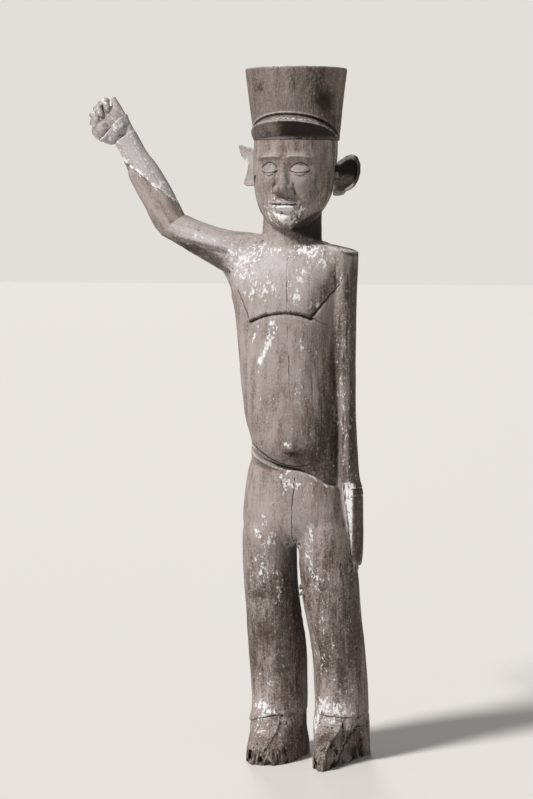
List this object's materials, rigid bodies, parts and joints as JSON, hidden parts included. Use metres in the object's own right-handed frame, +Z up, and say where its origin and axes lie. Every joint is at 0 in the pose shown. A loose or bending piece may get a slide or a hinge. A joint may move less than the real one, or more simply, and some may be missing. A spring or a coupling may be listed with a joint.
{
  "type": "carved ancestor figure",
  "caption": "Standing figure carved from one log, with a peaked hat block, let-in ears and a raised right arm tenoned and pegged at the shoulder and elbow.",
  "frame": {"origin": "on the floor, under the middle of the whole figure's bounding box", "axes": "+Z up, from the soles to the top of the hat; the figure faces -Y and its raised right arm is on the -X side"},
  "size_m": [0.5417, 0.2223, 1.3],
  "materials": {
    "log_wood": "weathered grey hardwood with upright grain, drying cracks and worn white pigment",
    "hat_wood": "weathered grey hardwood, darkened on its left side",
    "arm_wood": "weathered pale grey hardwood, grain along the arm",
    "peg_wood": "dark dry wood, end grain showing",
    "filler": "matt chalky white repair filler"
  },
  "bodies": {
    "root": {"carved_log": "log_wood", "peaked_hat": "hat_wood", "hat_dowel": "peg_wood", "left_ear": "log_wood", "right_ear": "log_wood", "upper_arm": "arm_wood", "forearm": "arm_wood", "hand_fragment": "arm_wood", "break_filler": "filler", "break_dowel": "peg_wood", "shoulder_peg_upper": "peg_wood", "shoulder_peg_lower": "peg_wood", "elbow_peg": "peg_wood"}
  },
  "joints": []
}
